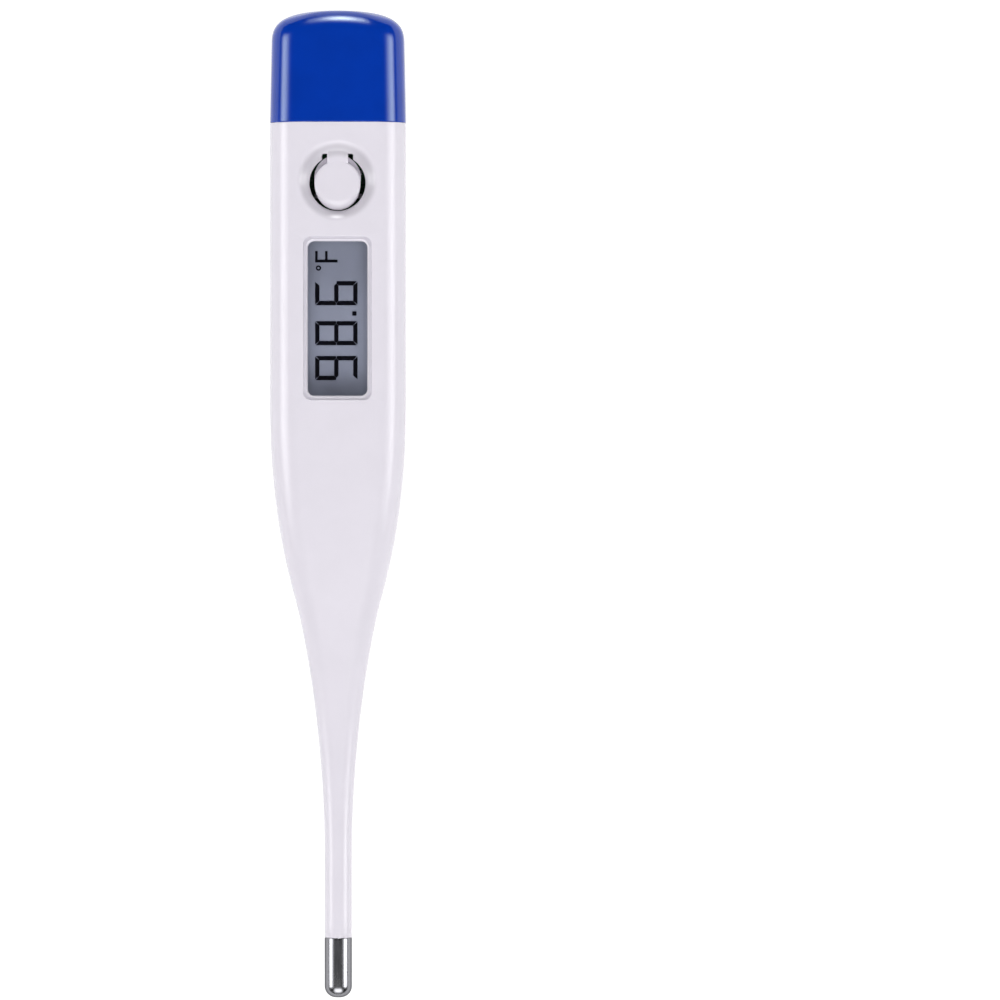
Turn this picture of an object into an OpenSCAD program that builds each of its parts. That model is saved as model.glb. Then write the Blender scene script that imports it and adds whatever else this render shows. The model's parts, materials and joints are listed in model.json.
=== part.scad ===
// Digital thermometer, laid on its back: display up (+Z), battery cover at +Y, probe at -Y.
// Lengths are in millimetres. Places along the body are distances from the cover's end.

/* [Overall] */
// Length from the end of the battery cover to the end of the probe
total_len = 127; // [124:1:132]
// Width of the housing
body_w = 17.5; // [17.3:0.1:19]
// Thickness of the housing at its crown
body_h = 10.2; // [10.2:0.1:11]
// Distance from the cover's end to the seam between cover and housing
seam_s = 14.4; // [14.2:0.1:14.6]
// Half width of the flat front and back between their rounded edges
flat_half = 4.6; // [4.4:0.1:5]
// Height of the rounding of the front and back edges
edge_h = 3.8; // [3.4:0.1:4]

/* [Taper and probe] */
// Where the straight sides end
straight_s = 50.5; // [50:0.5:51]
// Where the shoulder curve meets the neck curve
shoulder_s = 76; // [75.5:0.5:76.5]
// Half width where the two curves meet
shoulder_half = 5.44; // [5.3:0.02:5.6]
// Where the round neck begins
neck_s = 108.5; // [108:0.5:109]
// Radius of the neck and of the steel tip
neck_r = 1.75; // [1.75:0.05:1.85]
// Height of the neck's axis above the back
neck_z = 4.7; // [4.6:0.1:4.8]
// Length of the steel tip that shows
tip_len = 7.7; // [7.5:0.1:8]

/* [Window] */
// Middle of the display window
window_s = 39.6; // [39.4:0.1:39.8]
// Length of the clear insert
lens_len = 21; // [20.8:0.1:21.2]
// Width of the clear insert
lens_w = 8.7; // [8.6:0.1:8.8]
// Thickness of the clear insert
lens_t = 0.5; // [0.4:0.1:0.6]
// Length of the opening under the insert
sight_len = 19.7; // [19.5:0.1:19.8]
// Width of the opening under the insert
sight_w = 7.45; // [7.4:0.05:7.5]

/* [Button] */
// Middle of the button
button_s = 22.2; // [22.1:0.1:22.3]
// Radius of the button's face
button_r = 2.95; // [2.9:0.05:3]
// Radius of the hole around the button
hole_r = 3.6; // [3.5:0.05:3.6]
// Angle by which the free end of the face is raised
button_tilt = 12; // [10:0.5:12]
// Width of the neck that carries the button
tongue_w = 2.7; // [2.5:0.1:2.8]
// Radius of the dish around the button
dish_r = 5.3; // [5.2:0.1:5.4]
// Distance of the dish's middle from the button's, towards the cover
dish_shift = 0.35; // [0:0.05:0.4]

/* [Electronics] */
// Thickness of the circuit board
board_t = 0.8; // [0.6:0.1:0.8]
// Half width of the circuit board
board_half = 6.2; // [6:0.1:6.2]
// Radius of the button cell
cell_r = 3.95; // [3.95]
// Height of the button cell
cell_h = 3.6; // [3.6]

/* [Hidden] */

$fn = 64;
far = 40;            // longer than any cut needs
eps = 0.02;          // overlap that joins two shapes of one solid

// Casing
half_w = body_w / 2;
corner_steps = 9;    // points along one rounded edge of a section
curve_steps = 12;    // sections along each half of the taper
shoulder_slope = 0.27;
neck_step = 0.03;    // by which the taper ends outside the round neck
neck_flat = 0.01;    // share of the flats kept where the taper has become round
cover_wall = 1.1;
cover_gap = 0.05;    // clearance between cover and spigot
spigot_inset = cover_wall + cover_gap;
spigot_s = 7.5;      // where the spigot ends inside the cover

// Cavity of the housing
cavity_half = 6.6;
cavity_z0 = 2.05;
cavity_z1 = 7.95;
cavity_corner = 2;
cavity_s = 66;       // front end of the straight cavity
bore_s = 89.5;       // where the cavity has narrowed to the bore
bore_r = 0.9;
rib_x = 5.75;
rib_s = [17.5, 63.5];
rib_z0 = 2.3;
rib_t = 0.9;         // thickness of the rib over the board
rib_root = 0.2;      // depth of the ribs in the wall
groove_play = 0.1;

// Cover
cover_half = half_w - 0.07;
cover_draft = 0.02;  // loss of half width per millimetre of length
cover_end = 4.2;     // length of the rounded end
cover_power = 2.9;   // how square the corners of the end are
cover_edge_r = 2.3;  // rounding of the end's front and back edges
cover_steps = 9;
cover_stop = 0.3;    // gap between the spigot's end and the cover's inner step
cover_pocket_s = 2.2;
cover_pocket = [12.4, 6.3];
cover_pocket_z = 1.9;

// Window
lens_z = 10.05;      // upper face of the insert
lens_corner = 1.05;
lens_gap = 0.03;
sight_corner = 0.8;

// Button
dish_z = 9.45;       // height of the dish's flat middle
dish_flat_r = 3.4;
dish_turn = 78;      // share of a quarter wave, in degrees, that its rim follows
dish_steps = 8;
face_z = 9.95;       // height of the middle of the button's face
button_under_z = 7.85;
tongue_root = 4;     // distance from the button's middle to the bending line
tongue_z = 8.55;
tongue_in = 1.7;     // where the neck ends inside the face
tongue_play = 0.08;  // gap under the neck
face_depth = 5;      // more than the face's thickness, before it is cut flat
face_chamfer = 0.2;
slot_half = 2;
slot_reach = 3.75;
knuckle_r = 0.42;
knuckle_z = 9;
knuckle_play = 0.03;

// Probe
neck_spigot_r = 1.53;
neck_spigot_len = 3.5;
tip_inner_r = 1.55;
tip_wall = 0.55;
tip_corner = 1.45;
tip_inner_corner = 1.15;
potting_gap = 0.05;  // between the neck's spigot and the potting
potting_end = 1.2;   // length of the tip left hollow past the potting
potting_play = 0.01; // clearance of the potting round what it holds
bead_r = 0.5;
bead_from_end = 1.75;
lead_r = 0.175;
lead_wave_r = 0.17;
lead_pitch = 0.6;
sleeve_r = 0.6;
sleeve_len = 29;
sleeve_in = 0.4;     // length of the sleeve past the neck's spigot
lead_sides = 8;
lead_steps = 26;
lead_swing = 2;      // sideways swing of the spare length
lead_waves = 2;
lead_overlap = 0.1;  // by which the straight and the waved lengths run into each other
lead_play = 0.005;   // clearance of the leads in the bead

// Board and what stands on it
board_z = 3.5;
board_top = board_z + board_t;
board_s = [17, 64.5];
rear_reflector_z = 5.63;
rear_glass_z = 5.83;
cell_gap_z = 6.38;
front_glass_z = 6.43;
polariser_z = 6.98;
polariser_t = 0.12;
glass_w = 9.6;
glass_len = 23.6;
glass_ledge = 0.95;
film_in = 0.5;       // distance of the films in from the edges of their glass
segment_t = 0.04;
frame_wall = 0.45;
frame_play = 0.06;
frame_top = 7.25;
frame_lip_z = 7.12;
frame_lip = 0.45;    // overlap of the frame's lip on the glass
strip_w = 0.8;
strip_len = 20;
strip_in = 0.12;     // strip's distance in from the glass edge

// Reading on the display
digit_h = 5.45;
digit_w = 3.09;
segment_w = 0.55;
segment_gap = 0.02;  // between the inner corners of two bars
segment_notch = 0.09; // between their outer corners
digit_base_x = 2.51; // foot of the digits
digit_s = [47.46, 42.98, 37.83];
digit_lit = [[1, 1, 1, 1, 0, 1, 1], [1, 1, 1, 1, 1, 1, 1], [1, 0, 1, 1, 1, 1, 1]];
point_s = 38.9;
point_size = 0.54;
degree_s = 33.05;
degree_x = -2.51;
degree_r = [0.15, 0.34];
point_in = 0.4;      // distance of the point's middle from the foot of the digits
letter_s = 32.33;
letter_h = 2.88;
letter_w = 1.47;
letter_stem = 0.35;
letter_arm = 0.32;

// Switch
switch_w = 4.5;
switch_h = 2.4;
switch_well_r = 1.9;
switch_well_z = 0.5;
switch_cover_t = 0.2;
plunger_r = 1.2;
plunger_top = 7.75;
plunger_foot_r = 1.7;
plunger_foot_t = 0.4;
plunger_gap = 0.05;  // between the dome and the plunger's foot
plunger_play = 0.1;
dome_r = 1.75;
dome_rise = 0.45;
dome_t = 0.08;

// Buzzer
buzzer_s = 26.2;
buzzer_plate_r = 5;
buzzer_plate_z = 2.75;
buzzer_plate_t = 0.2;
buzzer_ceramic_r = 3.4;
buzzer_ceramic_t = 0.15;
buzzer_ring_out = 0.1;   // from the ring's outside to the plate's edge
buzzer_ring_in = 0.9;    // from the ring's inside to the plate's edge
wire_r = 0.15;
wire_s = 33;
wire_x = 0.8;
plate_wire_s = 30.8;
ceramic_wire_s = 29.2;

// Tray, contacts and cell
tray_half = 5.2;
tray_z = 2.3;
tray_floor_z = 2.9;
tray_top = 6.4;
tray_s = [6, 16.8, 20.2];
cell_s = 12;
cell_z = 3.2;
pocket_r = 4.05;
stake_x = 4.2;
stake_s = 18.6;
stake_r = 0.55;
stake_head_r = 0.85;
stake_h = 0.2;       // height of the stake over the board
stake_head_h = 0.35;
stake_play = 0.03;
tray_corner = 1.5;
tray_slot_half = 1.5;
tray_step_x = 2;     // inner edge of the steps under the board
contact_half = 1.2;
contact_s = [10.5, 18.3];
contact_pad_r = 0.9;
positive_s = 17.4;
contact_t = 0.15;
cap_r = 3.1;
cap_h = 2.4;
can_wall = 0.25;
can_lift = 0.25;     // gap between the cap's face and the can's rim
gasket_top = 2.6;

function row(s) = total_len / 2 - s;

function cubic(a, b, c, d, t) =
    a * pow(1 - t, 3) + 3 * b * t * pow(1 - t, 2) + 3 * c * t * t * (1 - t) + d * pow(t, 3);

// One closed section at row y: half width and half width of its flats, height of the back,
// heights where the back and front edges start to round, and height of the front
function section(y, w, flat, z0, z_back, z_front, z1) = [
    for (quarter = [0:3], i = [0:corner_steps - 1])
        let (a = 90 * (quarter + i / (corner_steps - 1)),
             side = quarter == 0 || quarter == 3 ? 1 : -1,
             front = quarter < 2)
        [side * flat + (w - flat) * cos(a),
         y,
         front ? z_front + (z1 - z_front) * sin(a) : z_back + (z_back - z0) * sin(a)]
];

// Section of the housing where its half width is w
function housing_section(y, w) =
    let (f = (half_w - w) / (half_w - neck_r),
         g = min(f, 1 - neck_flat))
    section(y, w, flat_half * (1 - g),
            (neck_z - neck_r) * pow(f, 1.4),
            edge_h + (neck_z - edge_h) * g,
            body_h - edge_h + (neck_z - body_h + edge_h) * g,
            body_h - (body_h - neck_z - neck_r) * f);

// Outline of the taper: distance from the cover's end and half width
shoulder_curve = [
    for (i = [0:curve_steps])
        let (t = i / curve_steps)
        [cubic(straight_s, straight_s + 13.1, shoulder_s - 4.5, shoulder_s, t),
         cubic(half_w, half_w, shoulder_half + 4.5 * shoulder_slope, shoulder_half, t)]
];
neck_curve = [
    for (i = [1:curve_steps])
        let (t = i / curve_steps)
        [cubic(shoulder_s, shoulder_s + 5.1, neck_s - 14, neck_s, t),
         cubic(shoulder_half, shoulder_half - 5.1 * shoulder_slope,
               neck_r + neck_step, neck_r + neck_step, t)]
];

// Section of the plain body drawn in by an even inset
function inset_section(s, inset) =
    section(row(s), half_w - inset, flat_half, inset, edge_h, body_h - edge_h, body_h - inset);

// Half width and rounding of the cover at distance s from its end
function cover_half_at(s) = cover_half - cover_draft * (seam_s - s);
function cover_round(s) =
    s >= cover_end ? 1 : pow(1 - pow((cover_end - s) / cover_end, cover_power), 1 / cover_power);
function cover_edge(s) =
    s >= cover_edge_r ? 0 : cover_edge_r - sqrt(pow(cover_edge_r, 2) - pow(cover_edge_r - s, 2));
function cover_section(s) =
    let (e = cover_edge(s), part = cover_round(s))
    section(row(s), cover_half_at(s) * part, flat_half * part, e, edge_h, body_h - edge_h,
            body_h - e);
cover_rows = [
    for (i = [0:cover_steps])
        let (t = i / cover_steps)
        cover_end * (0.002 + 0.998 * pow(t, 2.2))
];

// Solid through a list of sections, from the highest row to the lowest
module loft(sections) {
    n = len(sections[0]);
    last = (len(sections) - 1) * n;
    points = [for (s = sections) each s];
    first_face = [[for (i = [0:n - 1]) i]];
    last_face = [[for (i = [n - 1:-1:0]) last + i]];
    side_faces = [
        for (j = [0:len(sections) - 2], i = [0:n - 1])
            let (a = j * n + i, b = j * n + (i + 1) % n)
            each [[a, b + n, b], [a, a + n, b + n]]
    ];
    polyhedron(points, concat(first_face, side_faces, last_face));
}

module block(x0, x1, y0, y1, z0, z1) {
    translate([x0, y0, z0]) cube([x1 - x0, y1 - y0, z1 - z0]);
}

module rounded_rect(w, h, r) {
    square([w - 2 * r, h], center = true);
    square([w, h - 2 * r], center = true);
    for (x = [-1, 1], y = [-1, 1])
        translate([x * (w / 2 - r), y * (h / 2 - r)]) circle(r);
}

// Rounded plate lying flat, centred on a row
module plate(s, w, l, r, z0, z1) {
    translate([0, row(s), z0]) linear_extrude(z1 - z0) rounded_rect(w, l, r);
}

// Shape drawn in X and Z, drawn out along Y between two distances from the cover's end
module along(s0, s1) {
    translate([0, row(s0), 0]) rotate([90, 0, 0]) linear_extrude(s1 - s0) children();
}

// Round bar along Y between two distances from the cover's end
module bar(s0, s1, r, x = 0, z = neck_z) {
    translate([x, row(s0), z]) rotate([90, 0, 0]) cylinder(r = r, h = s1 - s0);
}

module post(x, s, r, z0, z1) {
    translate([x, row(s), z0]) cylinder(r = r, h = z1 - z0);
}

// Cap of a sphere standing on a plane, pointing up
module dome(r, rise) {
    sphere_r = (r * r + rise * rise) / (2 * rise);
    intersection() {
        translate([0, 0, rise - sphere_r]) sphere(sphere_r);
        cylinder(r = r + 1, h = rise + 1);
    }
}

// Round hollow with a flat middle and a rim that curves over into the housing's face
module dish() {
    rim = [
        for (i = [0:dish_steps])
            let (t = i / dish_steps)
            [dish_flat_r + (dish_r - dish_flat_r) * t,
             dish_z + (body_h - dish_z) * sin(dish_turn * t) / sin(dish_turn)]
    ];
    translate([0, row(button_s) + dish_shift, 0])
        rotate_extrude()
            polygon(concat([[0, dish_z]], rim, [[dish_r, far], [0, far]]));
}

module cavity_outline() {
    translate([0, (cavity_z0 + cavity_z1) / 2])
        rounded_rect(2 * cavity_half, cavity_z1 - cavity_z0, cavity_corner);
}

// Housing

module housing_skin() {
    loft([
        housing_section(row(seam_s), half_w),
        for (p = shoulder_curve) housing_section(row(p[0]), p[1]),
        for (p = neck_curve) housing_section(row(p[0]), p[1])
    ]);
    bar(neck_s - 0.3, total_len - tip_len, neck_r);
    bar(neck_s, total_len - tip_len + neck_spigot_len, neck_spigot_r);
    loft([inset_section(spigot_s, spigot_inset), inset_section(seam_s + 1, spigot_inset)]);
}

module housing_cavity() {
    along(spigot_s - 1, cavity_s) cavity_outline();
    hull() {
        along(cavity_s - eps, cavity_s) cavity_outline($fn = 32);
        bar(bore_s, bore_s + eps, bore_r, $fn = 32);
    }
    bar(bore_s - 1, total_len, bore_r);
}

module window_cut() {
    plate(window_s, lens_w, lens_len, lens_corner, lens_z - lens_t, far);
    plate(window_s, sight_w, sight_len, sight_corner, cavity_z1 - 1, lens_z);
}

module button_cut() {
    y = row(button_s);
    dish();
    post(0, button_s, hole_r, cavity_z1 - 1, body_h + 1);
    block(-slot_half, slot_half, y, y + slot_reach, cavity_z1 - 1, body_h + 1);
    pocket_half = tongue_w / 2 + 2 * knuckle_play;
    block(-pocket_half, pocket_half, y + slot_half, y + tongue_root + knuckle_play,
          tongue_z - tongue_play, body_h + 1);
    knuckle(pocket_half, knuckle_r + knuckle_play);
}

module knuckle(half, r) {
    translate([-half, row(button_s) + tongue_root, knuckle_z])
        rotate([0, 90, 0]) cylinder(r = r, h = 2 * half);
}

module board_guides() {
    groove_z0 = board_z - groove_play;
    groove_z1 = board_top + groove_play;
    root_x = cavity_half + rib_root;
    for (side = [0, 1])
        mirror([side, 0, 0]) {
            block(rib_x, root_x, row(rib_s[1]), row(rib_s[0]), rib_z0, groove_z0);
            block(rib_x, root_x, row(rib_s[1]), row(rib_s[0]), groove_z1, groove_z1 + rib_t);
        }
}

module housing() {
    color([0.9, 0.89, 0.92]) {
        difference() {
            housing_skin();
            housing_cavity();
            window_cut();
            button_cut();
        }
        board_guides();
    }
}

module display_window() {
    gap = 2 * lens_gap;
    color([0.8, 0.85, 0.88, 0.4])
        plate(window_s, lens_w - gap, lens_len - gap, lens_corner - lens_gap,
              lens_z - lens_t, lens_z);
}

module power_button() {
    y = row(button_s);
    top = face_depth - face_chamfer;
    color([0.91, 0.9, 0.93]) {
        intersection() {
            translate([0, y, face_z]) rotate([-button_tilt, 0, 0]) {
                translate([0, 0, -face_depth]) cylinder(r = button_r, h = top);
                translate([0, 0, -face_chamfer])
                    cylinder(r1 = button_r, r2 = button_r - face_chamfer, h = face_chamfer);
            }
            block(-far, far, 0, far + y, button_under_z, far);
        }
        difference() {
            block(-tongue_w / 2, tongue_w / 2, y + tongue_in, y + tongue_root, tongue_z, body_h);
            dish();
        }
        knuckle(tongue_w / 2, knuckle_r);
    }
}

// Battery cover

module battery_cover() {
    color([0.01, 0.21, 0.64])
        difference() {
            loft([
                for (s = cover_rows) cover_section(s),
                cover_section(seam_s)
            ]);
            loft([
                inset_section(spigot_s - cover_stop, cover_wall),
                inset_section(seam_s + 1, cover_wall)
            ]);
            along(cover_pocket_s, spigot_s)
                translate([0, cover_pocket_z + cover_pocket[1] / 2])
                    rounded_rect(cover_pocket[0], cover_pocket[1], cavity_corner);
        }
}

// Probe

// Half outline of a round rod with a rounded end, from its axis out
module tip_profile(r, len, corner) {
    square([r - corner, len]);
    square([r, len - corner]);
    intersection() {
        translate([r - corner, len - corner]) circle(corner);
        square([r, len]);
    }
}

module probe_tip() {
    tip_s = total_len - tip_len;
    inner_len = tip_len - tip_wall;
    color([0.8, 0.8, 0.82])
        translate([0, row(tip_s), neck_z]) rotate([90, 0, 0])
            rotate_extrude() difference() {
                tip_profile(neck_r, tip_len, tip_corner);
                tip_profile(tip_inner_r, inner_len, tip_inner_corner);
            }
}

module tip_potting() {
    start_s = total_len - tip_len + neck_spigot_len + potting_gap;
    end_s = total_len - tip_wall - potting_end;
    color([0.35, 0.32, 0.3])
        difference() {
            bar(start_s, end_s, tip_inner_r - potting_play);
            translate([0, row(bead_s), neck_z]) sphere(bead_r + potting_play);
            for (side = [-1, 1])
                bar(start_s - 1, bead_s, lead_r + potting_play, side * lead_pitch / 2);
            bar(start_s - 1, start_s + sleeve_in + potting_gap, sleeve_r + potting_gap);
        }
}

bead_s = total_len - bead_from_end;
bead_edge_s = bead_s - sqrt(pow(bead_r, 2) - pow(lead_pitch / 2 + lead_r, 2));

module thermistor_bead() {
    color([0.15, 0.12, 0.1])
        difference() {
            translate([0, row(bead_s), neck_z]) sphere(bead_r);
            for (side = [-1, 1])
                bar(bead_s - 1, bead_edge_s, lead_r + lead_play, side * lead_pitch / 2);
        }
}

wave_start_s = bore_s - 3;
lead_end_s = 63.2;
lead_end_x = 1.1;
lead_lift = 0.03;    // gap between the leads' ends and the board
lead_end_z = board_top + lead_r + lead_lift;

// Middle of a lead at t, which goes from 0 at the bore to 1 at the board
function lead_point(side, t) = [
    side * (lead_pitch / 2 + (lead_end_x - lead_pitch / 2) * t * t)
        + lead_swing * pow(sin(180 * t), 2) * sin(360 * lead_waves * t),
    row(wave_start_s + (lead_end_s - wave_start_s) * t),
    neck_z + (lead_end_z - neck_z) * t
];

// Octagon across the lead at a point, in the plane of X and Z turned along the path
function lead_ring(side, t) =
    let (p = lead_point(side, t),
         q = lead_point(side, min(1, t + 0.01)) - lead_point(side, max(0, t - 0.01)),
         along_path = q / norm(q),
         across = cross(along_path, [0, 0, 1]),
         a = across / norm(across),
         b = cross(a, along_path))
    [for (i = [0:lead_sides - 1])
        p + lead_wave_r * (cos(360 * i / lead_sides) * a + sin(360 * i / lead_sides) * b)];

module thermistor_leads() {
    color([0.75, 0.15, 0.1])
        for (side = [-1, 1]) {
            loft([for (i = [lead_steps:-1:0]) lead_ring(side, i / lead_steps)]);
            bar(wave_start_s - lead_overlap, bead_edge_s, lead_r, side * lead_pitch / 2);
        }
}

module insulating_sleeve() {
    end_s = total_len - tip_len + neck_spigot_len + sleeve_in;
    color([0.9, 0.85, 0.6])
        difference() {
            bar(end_s - sleeve_len, end_s, sleeve_r);
            for (side = [-1, 1])
                bar(end_s - sleeve_len - 1, end_s + 1, lead_r + potting_play,
                    side * lead_pitch / 2);
        }
}

// Circuit board and display

module circuit_board() {
    color([0.1, 0.4, 0.2])
        difference() {
            block(-board_half, board_half, row(board_s[1]), row(board_s[0]), board_z, board_top);
            for (side = [-1, 1])
                post(side * stake_x, stake_s, stake_r + stake_play, board_z - 1, board_top + 1);
        }
}

module lcd_front_glass() {
    color([0.75, 0.82, 0.8, 0.4])
        plate(window_s, glass_w, glass_len, 0.1, front_glass_z, polariser_z);
}

module lcd_rear_glass() {
    color([0.7, 0.78, 0.76, 0.5])
        block(-glass_w / 2, glass_w / 2 - glass_ledge, row(window_s) - glass_len / 2,
              row(window_s) + glass_len / 2, rear_glass_z, cell_gap_z);
}

module front_polariser() {
    color([0.5, 0.53, 0.5, 0.4])
        plate(window_s, glass_w - 2 * film_in, glass_len - 2 * film_in, 0.2,
              polariser_z, polariser_z + polariser_t);
}

module rear_reflector() {
    color([0.62, 0.64, 0.62])
        block(-glass_w / 2 + film_in, glass_w / 2 - glass_ledge - film_in,
              row(window_s) - glass_len / 2 + film_in, row(window_s) + glass_len / 2 - film_in,
              rear_reflector_z, rear_glass_z);
}

// Upper left bar of a seven-segment digit
module side_segment() {
    g = segment_gap;
    h = digit_h;
    w = segment_w;
    polygon([[0, h - segment_notch], [w, h - w - g], [w, h / 2 + w / 2 + g],
             [w / 2, h / 2 + g], [0, h / 2 + segment_notch / 2]]);
}

// Top bar of a seven-segment digit
module end_segment() {
    g = segment_gap;
    w = segment_w;
    n = segment_notch;
    polygon([[n, digit_h], [digit_w - n, digit_h],
             [digit_w - w - g, digit_h - w], [w + g, digit_h - w]]);
}

module middle_segment() {
    in = segment_w / 2 + segment_gap;
    w = segment_w / 2;
    translate([0, digit_h / 2])
        polygon([[in, 0], [in + w, w], [digit_w - in - w, w],
                 [digit_w - in, 0], [digit_w - in - w, -w], [in + w, -w]]);
}

module flipped_up() {
    translate([0, digit_h]) mirror([0, 1]) children();
}

module flipped_across() {
    translate([digit_w, 0]) mirror([1, 0]) children();
}

// Digit with its lit bars: top, upper right, lower right, bottom, lower left, upper left, middle
module digit(lit) {
    if (lit[0]) end_segment();
    if (lit[1]) flipped_across() side_segment();
    if (lit[2]) flipped_up() flipped_across() side_segment();
    if (lit[3]) flipped_up() end_segment();
    if (lit[4]) flipped_up() side_segment();
    if (lit[5]) side_segment();
    if (lit[6]) middle_segment();
}

// Unit letter: a stem and two arms
module unit_letter() {
    arm = letter_arm;
    square([letter_stem, letter_h]);
    translate([0, letter_h - arm]) square([letter_w, arm]);
    translate([0, (letter_h - arm) / 2]) square([letter_w, arm]);
}

module reading() {
    for (i = [0:len(digit_s) - 1])
        translate([digit_base_x, row(digit_s[i])]) rotate(90) digit(digit_lit[i]);
    translate([digit_base_x - point_in, row(point_s)]) square(point_size, center = true);
    translate([degree_x, row(degree_s)]) difference() {
        circle(degree_r[1]);
        circle(degree_r[0]);
    }
    translate([digit_base_x - digit_h + letter_h, row(letter_s)]) rotate(90) unit_letter();
}

module lcd_segments() {
    color([0.02, 0.02, 0.03])
        translate([0, 0, front_glass_z - segment_t]) linear_extrude(segment_t) reading();
}

module lcd_frame() {
    inner_w = glass_w + 2 * frame_play;
    inner_len = glass_len + 2 * frame_play;
    color([0.93, 0.93, 0.93])
        difference() {
            plate(window_s, inner_w + 2 * frame_wall, inner_len + 2 * frame_wall, 0.4,
                  board_top, frame_top);
            plate(window_s, inner_w, inner_len, 0.2, board_top - 1, frame_lip_z);
            plate(window_s, glass_w - 2 * frame_lip, glass_len - 2 * frame_lip, 0.3,
                  frame_lip_z - 1, far);
        }
}

module zebra_strip() {
    x1 = glass_w / 2 - strip_in;
    color([0.2, 0.2, 0.22])
        block(x1 - strip_w, x1, row(window_s) - strip_len / 2, row(window_s) + strip_len / 2,
              board_top, front_glass_z);
}

module support_strip() {
    x0 = -glass_w / 2 + strip_in;
    color([0.85, 0.86, 0.85])
        block(x0, x0 + strip_w, row(window_s) - strip_len / 2, row(window_s) + strip_len / 2,
              board_top, rear_reflector_z);
}

encapsulant_s = 41;
encapsulant_r = 3.2;
encapsulant_h = 1.1;

module chip_encapsulant() {
    color([0.05, 0.05, 0.05])
        translate([0, row(encapsulant_s), board_z]) rotate([180, 0, 0])
            dome(encapsulant_r, encapsulant_h);
}

chip_len = 1.6;
chip_w = 0.8;
chip_x = 3.4;
chip_s = 54.5;       // first chip of each row
resistor_step = 1.8;
resistor_t = 0.45;
capacitor_step = 2.2;
capacitor_t = 0.8;

module chips(places, t) {
    for (p = places)
        translate([p[0] - chip_len / 2, row(p[1]) - chip_w / 2, board_top])
            cube([chip_len, chip_w, t]);
}

module chip_resistors() {
    color([0.08, 0.08, 0.1])
        chips([for (i = [0:3]) [-chip_x, chip_s + resistor_step * i]], resistor_t);
}

module chip_capacitors() {
    color([0.72, 0.6, 0.42])
        chips([for (i = [0:2]) [chip_x, chip_s + capacitor_step * i]], capacitor_t);
}

// Radius and height of the solder on the leads, the wires and the contact
lead_solder = [0.48, 0.42];
wire_solder = [0.4, 0.3];
contact_solder = [0.5, 0.35];
lead_solder_shift = 0.55; // from the leads' ends to the middle of their solder
contact_solder_s = 18;

module drop(x, y, size) {
    translate([x, y, board_top]) dome(size[0], size[1]);
}

module solder_joints() {
    color([0.75, 0.76, 0.78]) {
        for (side = [-1, 1]) {
            drop(side * lead_end_x, row(lead_end_s) + lead_solder_shift, lead_solder);
            drop(side * wire_x, row(wire_s), wire_solder);
        }
        drop(0, row(contact_solder_s), contact_solder);
    }
}

// Push switch

module switch_base() {
    color([0.1, 0.1, 0.11])
        difference() {
            translate([0, 0, board_top])
                linear_extrude(switch_h)
                    translate([0, row(button_s)]) square(switch_w, center = true);
            post(0, button_s, switch_well_r, board_top + switch_well_z, far);
        }
}

foot_w = 0.6;
foot_t = 0.15;
foot_len = 0.8;
foot_h = 0.9;
foot_spread = 1.5;   // distance of each foot from the middle of the switch

module switch_leads() {
    color([0.78, 0.78, 0.8])
        for (x = [0, 1], side = [-1, 1])
            mirror([x, 0, 0])
                translate([switch_w / 2, row(button_s) + side * foot_spread - foot_w / 2, board_top]) {
                    cube([foot_t, foot_w, foot_h]);
                    cube([foot_len, foot_w, foot_t]);
                }
}

module switch_dome() {
    color([0.8, 0.79, 0.75])
        translate([0, row(button_s), board_top + switch_well_z]) difference() {
            dome(dome_r, dome_rise);
            translate([0, 0, -dome_t]) dome(dome_r, dome_rise);
        }
}

module switch_plunger() {
    foot_z = board_top + switch_well_z + dome_rise + plunger_gap;
    color([0.85, 0.2, 0.15]) {
        post(0, button_s, plunger_foot_r, foot_z, foot_z + plunger_foot_t);
        post(0, button_s, plunger_r, foot_z, plunger_top);
    }
}

module switch_cover() {
    z0 = board_top + switch_h;
    color([0.78, 0.78, 0.8])
        difference() {
            translate([0, 0, z0])
                linear_extrude(switch_cover_t)
                    translate([0, row(button_s)]) square(switch_w, center = true);
            post(0, button_s, plunger_r + plunger_play, z0 - 1, far);
        }
}

// Buzzer

module buzzer_plate() {
    color([0.8, 0.65, 0.3])
        post(0, buzzer_s, buzzer_plate_r, buzzer_plate_z, buzzer_plate_z + buzzer_plate_t);
}

module buzzer_ceramic() {
    color([0.88, 0.87, 0.84])
        post(0, buzzer_s, buzzer_ceramic_r, buzzer_plate_z - buzzer_ceramic_t, buzzer_plate_z);
}

module buzzer_ring() {
    color([0.2, 0.2, 0.2])
        difference() {
            post(0, buzzer_s, buzzer_plate_r - buzzer_ring_out, buzzer_plate_z + buzzer_plate_t, board_z);
            post(0, buzzer_s, buzzer_plate_r - buzzer_ring_in, 0, far);
        }
}

// One wire: along under the disc, then up to the board
module buzzer_wire(x, end_s, z) {
    bar(end_s, wire_s, wire_r, x, z);
    translate([x, row(wire_s), z]) sphere(wire_r);
    post(x, wire_s, wire_r, z, board_z);
}

module buzzer_wires() {
    color([0.7, 0.1, 0.1]) {
        buzzer_wire(wire_x, plate_wire_s, buzzer_plate_z - wire_r);
        buzzer_wire(-wire_x, ceramic_wire_s, buzzer_plate_z - buzzer_ceramic_t - wire_r);
    }
}

// Battery tray, contacts and cell

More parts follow.
